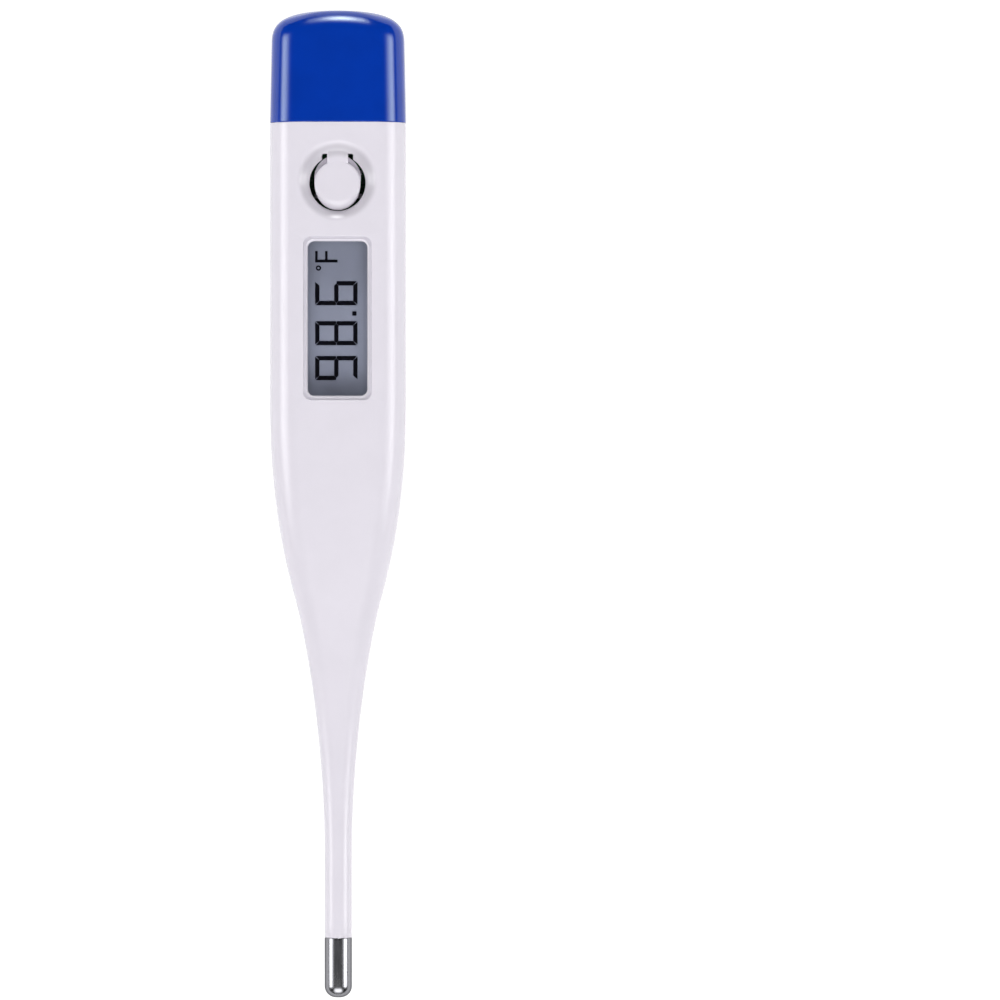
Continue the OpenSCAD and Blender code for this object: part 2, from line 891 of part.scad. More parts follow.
module battery_tray() {
    tray_len = tray_s[1] - tray_s[0];
    color([0.88, 0.88, 0.86]) {
        difference() {
            plate((tray_s[0] + tray_s[1]) / 2, 2 * tray_half, tray_len, tray_corner,
                  tray_z, tray_top);
            post(0, cell_s, pocket_r, tray_floor_z, far);
            block(-tray_slot_half, tray_slot_half, row(tray_s[1]) - 1, row(cell_s),
                  tray_floor_z, far);
        }
        block(-tray_half, tray_half, row(tray_s[2]), row(tray_s[1]) + 2, tray_z, tray_floor_z);
        for (side = [0, 1])
            mirror([side, 0, 0]) {
                block(tray_step_x, tray_half, row(tray_s[2]), row(tray_s[1]),
                      tray_floor_z - eps, board_z);
                post(stake_x, stake_s, stake_r, tray_floor_z, board_top + stake_h);
                post(stake_x, stake_s, stake_head_r, board_top, board_top + stake_head_h);
            }
    }
}

module negative_contact() {
    y = row(contact_s[1]);
    z1 = tray_floor_z + contact_t;
    color([0.8, 0.79, 0.75]) {
        block(-contact_half, contact_half, y, row(contact_s[0]), tray_floor_z, z1);
        block(-contact_half, contact_half, y, y + contact_t, tray_floor_z, board_z);
        post(0, cell_s, contact_pad_r, tray_floor_z, cell_z);
    }
}

module positive_contact() {
    touch_y = row(cell_s) - cell_r;
    color([0.8, 0.79, 0.75]) {
        block(-contact_half, contact_half, row(positive_s), touch_y,
              board_top, board_top + contact_t);
        block(-contact_half, contact_half, touch_y - contact_t, touch_y, board_top, tray_top);
    }
}

module battery_can() {
    color([0.82, 0.82, 0.84])
        difference() {
            post(0, cell_s, cell_r, cell_z + can_lift, cell_z + cell_h);
            post(0, cell_s, cell_r - can_wall, 0, cell_z + cell_h - can_wall);
        }
}

module battery_gasket() {
    color([0.15, 0.3, 0.25])
        difference() {
            post(0, cell_s, cell_r - can_wall, cell_z + can_lift, cell_z + gasket_top);
            post(0, cell_s, cap_r, 0, far);
        }
}

module battery_cap() {
    color([0.8, 0.8, 0.8])
        difference() {
            post(0, cell_s, cap_r, cell_z, cell_z + cap_h);
            post(0, cell_s, cap_r - can_wall, cell_z + can_wall, far);
        }
}

module battery_filling() {
    color([0.2, 0.2, 0.2]) {
        post(0, cell_s, cap_r - can_wall, cell_z + can_wall, cell_z + gasket_top + eps);
        post(0, cell_s, cell_r - can_wall, cell_z + gasket_top, cell_z + cell_h - can_wall);
    }
}

housing();
battery_cover();
display_window();
power_button();
probe_tip();
tip_potting();
thermistor_bead();
thermistor_leads();
insulating_sleeve();
circuit_board();
lcd_front_glass();
lcd_rear_glass();
front_polariser();
rear_reflector();
lcd_segments();
lcd_frame();
zebra_strip();
support_strip();
chip_encapsulant();
chip_resistors();
chip_capacitors();
solder_joints();
switch_base();
switch_leads();
switch_dome();
switch_plunger();
switch_cover();
buzzer_plate();
buzzer_ceramic();
buzzer_ring();
buzzer_wires();
battery_tray();
negative_contact();
positive_contact();
battery_can();
battery_gasket();
battery_cap();
battery_filling();
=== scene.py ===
"""Looks of the digital thermometer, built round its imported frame.

Mesh code works in millimetres. Every place and size comes from the frame's boxes, or is a
named value below. X is across, +Y runs to the battery cover, +Z is out of the display.
"""

import json
import math

import bmesh
import bpy
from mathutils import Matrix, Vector


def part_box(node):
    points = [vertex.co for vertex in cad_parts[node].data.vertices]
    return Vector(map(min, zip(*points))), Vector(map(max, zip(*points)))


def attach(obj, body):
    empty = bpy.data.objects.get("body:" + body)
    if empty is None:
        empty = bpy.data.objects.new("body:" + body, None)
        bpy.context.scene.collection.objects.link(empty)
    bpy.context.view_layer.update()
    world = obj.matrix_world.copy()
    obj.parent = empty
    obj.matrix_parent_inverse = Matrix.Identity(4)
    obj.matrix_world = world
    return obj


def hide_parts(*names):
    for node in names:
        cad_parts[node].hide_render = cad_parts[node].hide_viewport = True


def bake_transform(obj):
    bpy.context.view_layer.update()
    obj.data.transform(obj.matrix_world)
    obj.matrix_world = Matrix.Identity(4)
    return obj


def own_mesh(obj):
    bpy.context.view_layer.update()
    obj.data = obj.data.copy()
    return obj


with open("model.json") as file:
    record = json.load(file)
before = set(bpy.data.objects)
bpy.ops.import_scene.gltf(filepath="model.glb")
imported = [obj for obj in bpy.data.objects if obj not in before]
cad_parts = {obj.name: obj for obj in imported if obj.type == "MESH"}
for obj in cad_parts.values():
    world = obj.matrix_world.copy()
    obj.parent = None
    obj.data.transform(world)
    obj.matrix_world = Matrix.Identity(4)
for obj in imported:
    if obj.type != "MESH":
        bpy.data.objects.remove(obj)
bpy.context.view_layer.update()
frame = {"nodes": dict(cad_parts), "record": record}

MM = 0.001

# ---------------------------------------------------------------- sizes from the frame


def box_mm(node):
    """Lowest and highest corner of a CAD node, in millimetres."""
    return [Vector(corner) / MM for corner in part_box(node)]


HOUSING = box_mm("housing")
COVER = box_mm("battery_cover")
LENS = box_mm("display_window")
TIP = box_mm("probe_tip")
BUTTON = box_mm("power_button")
SPIGOT_END = HOUSING[1].y
SEAM = COVER[0].y
END = COVER[1].y
HALF = HOUSING[1].x
TOP = HOUSING[1].z
NECK_R = TIP[1].x
NECK_Z = (TIP[0].z + TIP[1].z) / 2
TIP_SEAM = TIP[1].y
TIP_END = TIP[0].y

# Section of the casing
FLAT = 4.6                # half width of the flat front and back
EDGE = 3.8                # height of the rounded front and back edges
STRIP = 6.0               # half width of the front strip that carries dish and window
CORNER_STEPS = 12
SIDE_STEPS = 2
RUN_X = 16                # steps across the straight part of the front strip
TURN = 4                  # steps on half a corner of the window

# Taper, as distances from the cover's end
STRAIGHT_S = 50.5
SHOULDER_S = 76
SHOULDER_HALF = 5.44
SHOULDER_SLOPE = 0.27
NECK_S = 108.5
BACK_RISE = 1.4           # how late the back rises to the neck: 1 is evenly
TAPER_REACH = (13.1, 4.5, 5.1, 14)  # how far the handles of its two curves reach
TAPER_STEPS = 40

# Spigot, cavity and bore
SPIGOT_INSET = 1.15
SPIGOT_EDGE_R = 0.25
SPIGOT_EDGE = 0.3         # length kept for the spigot's rounded end
MOUTH_LIP = 0.15          # depth of the first ring inside its mouth
CAVITY_HALF = 6.6
CAVITY_Z = (2.05, 7.95)
CAVITY_CORNER = 2.0
CAVITY_FRONT = END - 66
BORE_FRONT = END - 89.5
BORE_R = 0.9
NECK_SPIGOT_R = 1.53
NECK_SPIGOT_LEN = 3.5

# Window
WINDOW_Y = (LENS[0].y + LENS[1].y) / 2
LENS_Z = LENS[1].z
WINDOW_HALF = (4.35, 10.5)
WINDOW_CORNER = 1.05
LENS_GAP = 0.03
LENS_SEEN = 0.17          # depth of the clear face over the ledge
LEDGE_Z = LENS_Z - 0.2    # what the clear face lies on
SIGHT_HALF = (3.82, 9.92)
SIGHT_CORNER = 0.8
SIGHT_SLOPE = (0.26, 0.36)  # width and depth of the slope round the opening
WINDOW_RUN_Y = 18
WINDOW_MARGIN = 0.4

# Button and dish
BUTTON_R = BUTTON[1].x
BUTTON_Y = END - 22.2
BUTTON_UNDER = BUTTON[0].z
FACE_Z = 9.95
TILT = math.radians(12)
TONGUE_HALF = 1.35
HOLE_R = 3.6
SLOT_HALF = 2.0
SLOT_REACH = 3.75
SLOT_CORNER = (0.22, 0.06)  # length and middle cut of the slot's corners
DISH_SHIFT = 0.35
DISH_Z = 9.35             # height of the dish's flat middle
DISH_RADII = (3.5, 5.3)   # where its wall starts and ends
DISH_EDGE = 5.6
DISH_BLEND = 0.02
DISH_RINGS = 26
BUTTON_ROWS = 28
BUTTON_PATCH = 6.1
TONGUE_PROUD = 0.012        # how far the neck stands over the dish
TONGUE_ENDS = (0.35, 1.2)   # where it ends past the slot, and starts from the middle
TONGUE_UNDER = (0.9, 0.3)   # its underside: over the button's lowest point, under the dish
TONGUE_SOFT = (0.18, 0.11)  # width and depth of the slopes along the neck
FACE_SOFT = (0.22, 0.14)    # width and depth of the slope round the face
FACE_FRONT = (0.4, 0.22)    # the same, added towards the probe
FACE_CROWN = 0.05           # how far the face's middle is hollowed
SKIRT_Z = 9.35
SKIRT_FLARE = 0.34
FLANGE = (3.0, 0.65, 8.5, 8.8)  # radius, shift towards the cover, lowest and highest
FLANGE_STEPS = 80
BUTTON_SHARP = math.radians(35)

# Tip
TIP_CORNER = 1.45
TIP_WALL = 0.2
TIP_LIP_R = 0.07

# Small roundings, and steps round the button's face and the tip
SOFT = 0.09
FILLET_STEPS = 3
NODE_SOFT = 0.04          # on the CAD nodes that stay
ROUND_STEPS = 96
CENTRE_R = 0.02           # smallest ring, before a round face is filled
MERGE = 0.0005            # distance under which points become one
SHARP = math.radians(50)

# ---------------------------------------------------------------- mesh tools


class Shell:
    """Points and faces of one piece, in millimetres, joined up ring by ring."""

    def __init__(self):
        self.points = []
        self.faces = []

    def ring(self, points):
        """Adds a row of points and returns their places."""
        first = len(self.points)
        self.points += [tuple(p) for p in points]
        return list(range(first, len(self.points)))

    def bridge(self, a, b, closed=True):
        """Faces between two rings with as many points."""
        count = len(a)
        for i in range(count if closed else count - 1):
            j = (i + 1) % count
            self.faces.append((a[i], a[j], b[j], b[i]))

    def rings(self, all_points, closed=True):
        """Adds several rings and joins each to the next. Returns the first and the last."""
        made = [self.ring(points) for points in all_points]
        for a, b in zip(made, made[1:]):
            self.bridge(a, b, closed)
        return made[0], made[-1]

    def fill(self, ring):
        """One flat face over a ring."""
        self.faces.append(tuple(ring))

    def build(self, name):
        """Makes the Blender object, in metres, with its normals facing out."""
        mesh = bpy.data.meshes.new(name)
        work = bmesh.new()
        made = [work.verts.new(Vector(p) * MM) for p in self.points]
        for face in self.faces:
            if len(set(face)) > 2:
                work.faces.new([made[i] for i in face])
        bmesh.ops.remove_doubles(work, verts=work.verts, dist=MERGE * MM)
        bmesh.ops.recalc_face_normals(work, faces=work.faces)
        work.to_mesh(mesh)
        work.free()
        smooth(mesh, SHARP)
        piece = bpy.data.objects.new(name, mesh)
        bpy.context.scene.collection.objects.link(piece)
        return piece


def smooth(mesh, sharp):
    """Smooth shading, broken at edges that turn by more than an angle."""
    mesh.polygons.foreach_set("use_smooth", [True] * len(mesh.polygons))
    mesh.set_sharp_from_angle(angle=sharp)


def flatten_normals(piece):
    """Keeps large faces flat beside small roundings."""
    weighted = piece.modifiers.new("even_normals", "WEIGHTED_NORMAL")
    weighted.keep_sharp = True
    weighted.weight = 60


def steps(a, b, count):
    """Evenly spaced values from a to b, both included."""
    return [a + (b - a) * i / count for i in range(count + 1)]


def turns(count):
    """Angles of a full circle's points."""
    return [2 * math.pi * i / count for i in range(count)]


def cubic(a, b, c, d, t):
    """Value at t on a curve from a to d with handles b and c."""
    u = 1 - t
    return a * u**3 + 3 * b * t * u * u + 3 * c * t * t * u + d * t**3


def quarter(radius, count=FILLET_STEPS):
    """Inset and depth of each step of a quarter round: (0, radius) goes to (radius, 0)."""
    turns = [math.pi / 2 * i / count for i in range(count + 1)]
    return [(radius * (1 - math.cos(a)), radius * (1 - math.sin(a))) for a in turns]


def offset(points, distance):
    """Closed outline moved sideways, outwards when it runs anticlockwise."""
    moved = []
    for i, (x, y) in enumerate(points):
        before, after = points[i - 1], points[(i + 1) % len(points)]
        dx, dy = after[0] - before[0], after[1] - before[1]
        length = math.hypot(dx, dy) or 1
        moved.append((x + distance * dy / length, y - distance * dx / length))
    return moved


def rounded_outline(half_x, half_y, r, run_x, run_y, turn):
    """Rounded rectangle, anticlockwise from the middle of its (+x, +y) corner."""
    cx, cy = half_x - r, half_y - r

    def arc(x, y, start, end, count):
        return [
            (x + r * math.cos(math.radians(a)), y + r * math.sin(math.radians(a)))
            for a in steps(start, end, count)
        ]

    def run(x0, y0, x1, y1, count):
        return list(zip(steps(x0, x1, count), steps(y0, y1, count)))

    parts = [
        arc(cx, cy, 45, 90, turn),
        run(cx, half_y, -cx, half_y, run_x),
        arc(-cx, cy, 90, 180, 2 * turn),
        run(-half_x, cy, -half_x, -cy, run_y),
        arc(-cx, -cy, 180, 270, 2 * turn),
        run(-cx, -half_y, cx, -half_y, run_x),
        arc(cx, -cy, 270, 360, 2 * turn),
        run(half_x, -cy, half_x, cy, run_y),
        arc(cx, cy, 0, 45, turn),
    ]
    return [p for part in parts for p in part[:-1]]


def frame_outline(columns, rows):
    """Rectangle through columns (high x to low) and rows (high y to low), anticlockwise."""
    left, right = columns[-1], columns[0]
    return (
        [(x, rows[0]) for x in columns[:-1]]
        + [(left, y) for y in rows[:-1]]
        + [(x, rows[-1]) for x in reversed(columns[1:])]
        + [(right, y) for y in reversed(rows[1:])]
    )


# ---------------------------------------------------------------- sections of the casing


def section_size(w, flat, z0, z_back, z_front, z1):
    """Half widths of a section and of its flats, and the heights where its edges start."""
    return {"w": w, "flat": flat, "z0": z0, "back": z_back, "front": z_front, "z1": z1}


BODY = section_size(HALF, FLAT, 0.0, EDGE, TOP - EDGE, TOP)
INNER = section_size(
    CAVITY_HALF,
    CAVITY_HALF - CAVITY_CORNER,
    CAVITY_Z[0],
    CAVITY_Z[0] + CAVITY_CORNER,
    CAVITY_Z[1] - CAVITY_CORNER,
    CAVITY_Z[1],
)


def inset_size(size, inset):
    """The same section drawn in evenly."""
    return section_size(
        size["w"] - inset,
        size["flat"],
        size["z0"] + inset,
        size["back"],
        size["front"],
        size["z1"] - inset,
    )


def round_size(r):
    """Round section on the probe's axis."""
    return section_size(r, 0.0, NECK_Z - r, NECK_Z, NECK_Z, NECK_Z + r)


def front_z(size, x):
    """Height of a section's front at x."""
    over = max(0.0, abs(x) - size["flat"])
    part = min(1.0, over / (size["w"] - size["flat"]))
    return size["front"] + (size["z1"] - size["front"]) * math.sqrt(1 - part * part)


WINDOW_CX = WINDOW_HALF[0] - WINDOW_CORNER
COLUMNS = (
    steps(STRIP, WINDOW_CX, TURN)[:-1]
    + steps(WINDOW_CX, -WINDOW_CX, RUN_X)[:-1]
    + steps(-WINDOW_CX, -STRIP, TURN)
)


def section_points(size, y, strip=STRIP / HALF, front=True):
    """Points round a section at row y, from the front strip's +x edge anticlockwise.

    Without its front, it runs from the strip's -x edge round the back to the +x edge.
    """
    w, flat = size["w"], size["flat"]
    edge = strip * w
    scale = edge / STRIP
    start = math.acos(min(1.0, (edge - flat) / (w - flat)))

    def side(sign, rising):
        """One side, from the back strip up to the front strip or down."""
        up = [
            (
                sign * (flat + (w - flat) * math.cos(a)),
                size["front"] + (size["z1"] - size["front"]) * math.sin(a),
            )
            for a in steps(0, start, CORNER_STEPS)
        ]
        down = [
            (
                sign * (flat + (w - flat) * math.cos(a)),
                size["back"] - (size["back"] - size["z0"]) * math.sin(a),
            )
            for a in steps(start, 0, CORNER_STEPS)
        ]
        middle = [
            (sign * w, z) for z in steps(size["back"], size["front"], SIDE_STEPS)
        ][1:-1]
        whole = down + middle + up
        return whole if rising else list(reversed(whole))

    front_points = [(x * scale, front_z(size, x * scale)) for x in COLUMNS]
    flipped = {**size, "front": size["back"], "z1": size["z0"]}
    back_points = [(-x * scale, front_z(flipped, x * scale)) for x in COLUMNS]
    left = side(-1, rising=False)
    right = side(1, rising=True)
    rest = left[:-1] + back_points[:-1] + right
    points = front_points[:-1] + rest[:-1] if front else rest
    return [(x, y, z) for x, z in points]


def cavity_points(size, y, front=True):
    """Points round a section inside, where the front strip is a larger share."""
    return section_points(size, y, strip=STRIP / CAVITY_HALF, front=front)


def housing_size(w):
    """Section of the housing where its half width is w."""
    f = min(1.0, (HALF - w) / (HALF - NECK_R))
    return section_size(
        w,
        FLAT * (1 - f),
        (NECK_Z - NECK_R) * f**BACK_RISE,
        EDGE + (NECK_Z - EDGE) * f,
        TOP - EDGE + (NECK_Z - TOP + EDGE) * f,
        TOP - (TOP - NECK_Z - NECK_R) * f,
    )


def taper():
    """Distance from the cover's end and half width, from the straight sides to the neck."""
    leave, meet, part, arrive = TAPER_REACH
    curves = (
        (
            (STRAIGHT_S, STRAIGHT_S + leave, SHOULDER_S - meet, SHOULDER_S),
            (HALF, HALF, SHOULDER_HALF + meet * SHOULDER_SLOPE, SHOULDER_HALF),
        ),
        (
            (SHOULDER_S, SHOULDER_S + part, NECK_S - arrive, NECK_S),
            (SHOULDER_HALF, SHOULDER_HALF - part * SHOULDER_SLOPE, NECK_R, NECK_R),
        ),
    )
    return [
        (cubic(*places, t), cubic(*halves, t))
        for places, halves in curves
        for t in steps(0, 1, TAPER_STEPS)[1:]
    ]


# ---------------------------------------------------------------- housing


def dish_z(x, y):
    """Height of the hollow round the button."""
    inner, outer = DISH_RADII
    t = (math.hypot(x, y - BUTTON_Y - DISH_SHIFT) - inner) / (outer - inner)
    wave = (1 - math.cos(math.pi * min(1.0, max(0.0, t)))) / 2
    return DISH_Z + (TOP - DISH_Z) * wave + max(0.0, t - 1)


def face_z(x, y):
    """Height of the housing's front, with the dish sunk into it and its rim softened."""
    skin, dish = front_z(BODY, x), dish_z(x, y)
    share = min(1.0, max(0.0, 0.5 + 0.5 * (dish - skin) / DISH_BLEND))
    return dish + (skin - dish) * share - DISH_BLEND * share * (1 - share)


def keyhole():
    """Opening round the button: a circle with a squared end over the tongue."""
    corner = math.atan2(math.sqrt(HOLE_R**2 - SLOT_HALF**2), SLOT_HALF)
    low = HOLE_R * math.sin(corner)
    rise = SLOT_REACH - low
    length, cut = SLOT_CORNER
    right = [(SLOT_HALF, low + rise * part) for part in (0, 0.4, 0.75)]
    right.append((SLOT_HALF - cut, SLOT_REACH - cut))
    top = [(x, SLOT_REACH) for x in steps(SLOT_HALF - length, length - SLOT_HALF, RUN_X)]
    left = [(-x, y) for x, y in reversed(right)]
    count = 2 * BUTTON_ROWS + len(COLUMNS) - 1  # so that it has as many points as the edge
    angles = steps(math.pi - corner, 2 * math.pi + corner, count)
    ring = [(HOLE_R * math.cos(a), HOLE_R * math.sin(a)) for a in angles[1:-1]]
    return [(x, y + BUTTON_Y) for x, y in right + top + left + ring]


def lip(shell, outline, height, radius):
    """Rounded edge of an opening: from the face down into the wall. Returns both rings."""
    made = []
    for inset, depth in reversed(quarter(radius)):
        moved = offset(outline, inset)
        made.append([(x, y, height(x, y) - depth) for x, y in moved])
    return shell.rings(made)


def button_patch(shell, rows):
    """Front of the housing round the button."""
    edge = frame_outline(COLUMNS, rows)
    hole = keyhole()
    outer, wall = lip(shell, hole, face_z, SOFT)
    start = offset(hole, SOFT)
    centre = Vector((0, BUTTON_Y + DISH_SHIFT))
    ends = []
    for x, y in edge:
        away = (Vector((x, y)) - centre).normalized()
        ends.append(centre + away * DISH_EDGE)
    made = [outer]
    for k in range(1, DISH_RINGS + 1):
        t = k / DISH_RINGS
        flat = [(a[0] + (b[0] - a[0]) * t, a[1] + (b[1] - a[1]) * t) for a, b in zip(start, ends)]
        made.append(shell.ring([(x, y, face_z(x, y)) for x, y in flat]))
    made.append(shell.ring([(x, y, front_z(BODY, x)) for x, y in edge]))
    for a, b in zip(made, made[1:]):
        shell.bridge(a, b)
    under = shell.ring([(x, y, CAVITY_Z[1]) for x, y in hole])
    shell.bridge(wall, under)
    inner_edge = shell.ring([(x, y, front_z(INNER, x)) for x, y in edge])
    shell.bridge(under, inner_edge)


def window_outline(half, corner):
    """Rounded rectangle round the window's middle."""
    flat = rounded_outline(half[0], half[1], corner, RUN_X, WINDOW_RUN_Y, TURN)
    return [(x, y + WINDOW_Y) for x, y in flat]


def window_patch(shell, rows):
    """Front of the housing round the window: recess, ledge and opening."""
    edge = frame_outline(COLUMNS, rows)
    recess = window_outline(WINDOW_HALF, WINDOW_CORNER)
    sight = window_outline(SIGHT_HALF, SIGHT_CORNER)
    face_edge = shell.ring([(x, y, front_z(BODY, x)) for x, y in edge])
    outer, wall = lip(shell, recess, lambda x, y: front_z(BODY, x), SOFT)
    shell.bridge(face_edge, outer)
    ledge = shell.ring([(x, y, LEDGE_Z) for x, y in recess])
    shell.bridge(wall, ledge)
    slope = offset(sight, SIGHT_SLOPE[0])
    slope_top, slope_foot = shell.rings(
        [(x, y, z) for x, y in outline]
        for outline, z in ((slope, LEDGE_Z), (sight, LEDGE_Z - SIGHT_SLOPE[1]))
    )
    shell.bridge(ledge, slope_top)
    under = shell.ring([(x, y, CAVITY_Z[1]) for x, y in sight])
    shell.bridge(slope_foot, under)
    inner_edge = shell.ring([(x, y, front_z(INNER, x)) for x, y in edge])
    shell.bridge(under, inner_edge)


def make_housing():
    """Casing from the spigot to the tip's seat, hollow all the way."""
    shell = Shell()
    button_rows = steps(BUTTON_Y + BUTTON_PATCH, BUTTON_Y - BUTTON_PATCH, BUTTON_ROWS)
    cy = WINDOW_HALF[1] - WINDOW_CORNER
    reach = WINDOW_HALF[1] + WINDOW_MARGIN
    window_rows = [
        WINDOW_Y + y
        for y in steps(reach, cy, TURN)[:-1]
        + steps(cy, -cy, WINDOW_RUN_Y)[:-1]
        + steps(-cy, -reach, TURN)
    ]
    strip_rows = button_rows + window_rows

    button_patch(shell, button_rows)
    window_patch(shell, window_rows)
    # front strip between the two patches, outside and inside
    for size in (BODY, INNER):
        shell.rings(
            [
                [(x, y, front_z(size, x)) for x in COLUMNS]
                for y in (button_rows[-1], window_rows[0])
            ],
            closed=False,
        )
    # sides and back along the straight part, outside and inside
    shell.rings([section_points(BODY, y, front=False) for y in strip_rows], closed=False)
    shell.rings([cavity_points(INNER, y, front=False) for y in strip_rows], closed=False)

    # from the button's patch back to the seam, over the spigot and into the cavity
    spigot = inset_size(BODY, SPIGOT_INSET)
    back = [section_points(BODY, button_rows[0])]
    back += [
        section_points(inset_size(BODY, inset), SEAM - depth) for inset, depth in quarter(SOFT)
    ]
    back += [section_points(spigot, y) for y in steps(SEAM, SPIGOT_END - SPIGOT_EDGE, 4)]
    back += [
        section_points(inset_size(spigot, inset), SPIGOT_END - depth)
        for inset, depth in quarter(SPIGOT_EDGE_R)
    ]
    back += [cavity_points(INNER, y) for y in (SPIGOT_END, SPIGOT_END - MOUTH_LIP)]
    back += [cavity_points(INNER, y) for y in steps(SEAM, button_rows[0], 2)]
    shell.rings(back)

    # from the window's patch along the taper to the neck, then back through the bore
    front = [section_points(BODY, window_rows[-1])]
    front += [section_points(housing_size(w), END - s) for s, w in taper()]
    front += [section_points(round_size(NECK_R), y) for y in steps(END - NECK_S, TIP_SEAM, 6)[1:-1]]
    front += [
        section_points(round_size(NECK_R - inset), TIP_SEAM + depth)
        for inset, depth in quarter(SOFT)
    ]
    spigot_front = TIP_SEAM - NECK_SPIGOT_LEN
    front += [section_points(round_size(NECK_SPIGOT_R), y) for y in (TIP_SEAM, spigot_front)]
    front += [section_points(round_size(BORE_R), y) for y in (spigot_front, BORE_FRONT)]
    front += [cavity_points(INNER, y) for y in (CAVITY_FRONT, window_rows[-1])]
    shell.rings(front)
    piece = shell.build("housing_shell")
    flatten_normals(piece)
    return piece


# ---------------------------------------------------------------- battery cover

COVER_WALL = 1.1
COVER_DRAFT = 0.02
COVER_END = 4.2           # length of its rounded end
COVER_POWER = 2.9         # how square that end is
COVER_EDGE_R = 2.3
COVER_STEPS = 26
COVER_FIRST = 0.002       # place of the first ring, as a share of the rounded end
COVER_CROWD = 2.2         # how much the rings crowd towards the end
COVER_ROOM = 0.3          # room over the spigot's end, and length of the mouth's edge
END_BOW = 0.0233          # bow of the end's edges, per millimetre
END_BOW_HALF = 7.0
COVER_POCKET_END = END - 2.2
COVER_POCKET = section_size(6.2, 4.2, 1.9, 3.9, 6.2, 8.2)


def cover_size(s):
    """Section of the cover at distance s from its end."""
    part = 1.0
    if s < COVER_END:
        part = (1 - ((COVER_END - s) / COVER_END) ** COVER_POWER) ** (1 / COVER_POWER)
    drop = edge_drop(s)
    w = (HALF - COVER_DRAFT * (END - SEAM - s)) * part
    return section_size(w, FLAT * part, drop, EDGE, TOP - EDGE, TOP - drop)


def edge_drop(s):
    """How far the front and back are drawn in by the rounding of the end's edges."""
    if s >= COVER_EDGE_R:
        return 0.0
    return COVER_EDGE_R - math.sqrt(COVER_EDGE_R**2 - (COVER_EDGE_R - max(0.0, s)) ** 2)


def sink_end(point, s):
    """Lets the end's rounding follow the curved outline instead of running straight across."""
    x, y, z = point
    more = edge_drop(s - END_BOW * x * x) - edge_drop(s)
    side = 1 - min(1.0, abs(x) / END_BOW_HALF) ** 4
    up = (z - TOP / 2) / (TOP / 2)
    return (x, y, z - more * side * up)


def make_cover():
    """Cap with a rounded end, a socket for the spigot and a pocket behind it."""
    shell = Shell()
    rows = []
    for i in range(COVER_STEPS + 1):
        s = COVER_END * (COVER_FIRST + (1 - COVER_FIRST) * (i / COVER_STEPS) ** COVER_CROWD)
        rows.append(section_points(cover_size(s), END - s))
    rows = [[sink_end(p, END - row[0][1]) for p in row] for row in rows]
    mouth = cover_size(END - SEAM)
    rows += [
        section_points(cover_size(END - y), y)
        for y in steps(END - COVER_END, SEAM + COVER_ROOM, 6)[1:]
    ]
    rows += [
        section_points(inset_size(mouth, inset), SEAM + depth) for inset, depth in quarter(SOFT)
    ]
    socket = inset_size(BODY, COVER_WALL)
    socket_end = SPIGOT_END + COVER_ROOM
    rows += [section_points(socket, y) for y in (SEAM, socket_end)]
    rows += [cavity_points(COVER_POCKET, y) for y in (socket_end, COVER_POCKET_END)]
    first, last = shell.rings(rows)
    shell.fill(first)
    shell.fill(last)
    piece = shell.build("cover_shell")
    flatten_normals(piece)
    return piece


# ---------------------------------------------------------------- window, button and tip


def sheet(name, outline, low, high):
    """Clear plate with a soft upper edge. It has no underside, so light crosses one face."""
    shell = Shell()
    rows = [[(x, y, low) for x, y in outline]]
    soft = min(SOFT, (high - low) / 3)
    for inset, depth in quarter(soft):
        rows.append([(x, y, high - depth) for x, y in offset(outline, -inset)])
    _, top = shell.rings(rows)
    shell.fill(top)
    piece = shell.build(name)
    flatten_normals(piece)
    return piece


def make_lens():
    """Clear face of the window, just inside its recess."""
    half = (WINDOW_HALF[0] - LENS_GAP, WINDOW_HALF[1] - LENS_GAP)
    outline = window_outline(half, WINDOW_CORNER - LENS_GAP)
    return sheet("window_lens", outline, LENS_Z - LENS_SEEN, LENS_Z)


def clear_plate(node, name, corner):
    """Clear plate that fills a CAD node's box."""
    low, high = box_mm(node)
    flat = rounded_outline(high.x, (high.y - low.y) / 2, corner, 4, 4, 4)
    middle = (low.y + high.y) / 2
    return sheet(name, [(x, y + middle) for x, y in flat], low.z, high.z)


def tongue_shell():
    """Neck of the button, flush with the dish and ending just over the housing."""
    past, start = TONGUE_ENDS
    over, under = TONGUE_UNDER
    wide, deep = TONGUE_SOFT
    half = [(x, 0.0) for x in steps(0, TONGUE_HALF - wide, 4)]
    half += [(TONGUE_HALF - 0.02, deep), (TONGUE_HALF, deep + 0.05)]
    across = [(-x, sunk) for x, sunk in reversed(half[1:])] + half
    shell = Shell()
    rings = []
    for y in steps(BUTTON_Y + SLOT_REACH + past, BUTTON_Y + start, 10):
        in_slot = y < BUTTON_Y + SLOT_REACH - 0.05
        low = BUTTON_UNDER + over if in_slot else dish_z(0, y) - under
        upper = [(x, y, dish_z(x, y) + TONGUE_PROUD - sunk) for x, sunk in across]
        lower = [(x, y, low) for x, _ in reversed(across)]
        rings.append(upper + lower)
    first, last = shell.rings(rings)
    shell.fill(first)
    shell.fill(last)
    return shell


